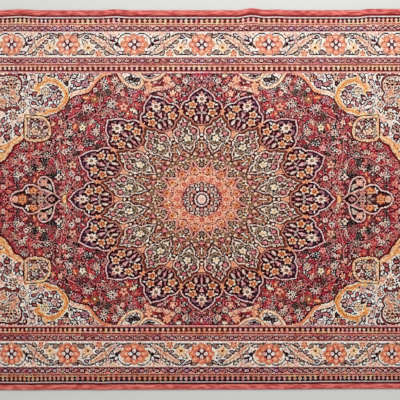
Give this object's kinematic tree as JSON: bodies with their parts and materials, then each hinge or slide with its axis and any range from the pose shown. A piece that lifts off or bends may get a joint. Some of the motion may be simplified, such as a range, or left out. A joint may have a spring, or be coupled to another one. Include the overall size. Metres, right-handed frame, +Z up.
{
  "type": "machine-made medallion rug",
  "caption": "Flat rectangular woven pile rug with a central star medallion, corner pieces, a wide flowered border and red yarn bindings along its long edges.",
  "frame": {"origin": "on the floor under the middle of the rug, at the middle of its underside", "axes": "+X along the rug's length, +Y across its width towards the long edge with the small bulges, +Z up out of the pile"},
  "size_m": [2.026, 1.4096, 0.01],
  "materials": {
    "pile": "cut pile in a many-coloured woven pattern, matt with a faint wool sheen",
    "binding_yarn": "coral red overcast yarn with a soft gloss"
  },
  "bodies": {
    "root": {"pile_cloth": "pile", "binding_far": "binding_yarn", "binding_near": "binding_yarn"}
  },
  "joints": []
}
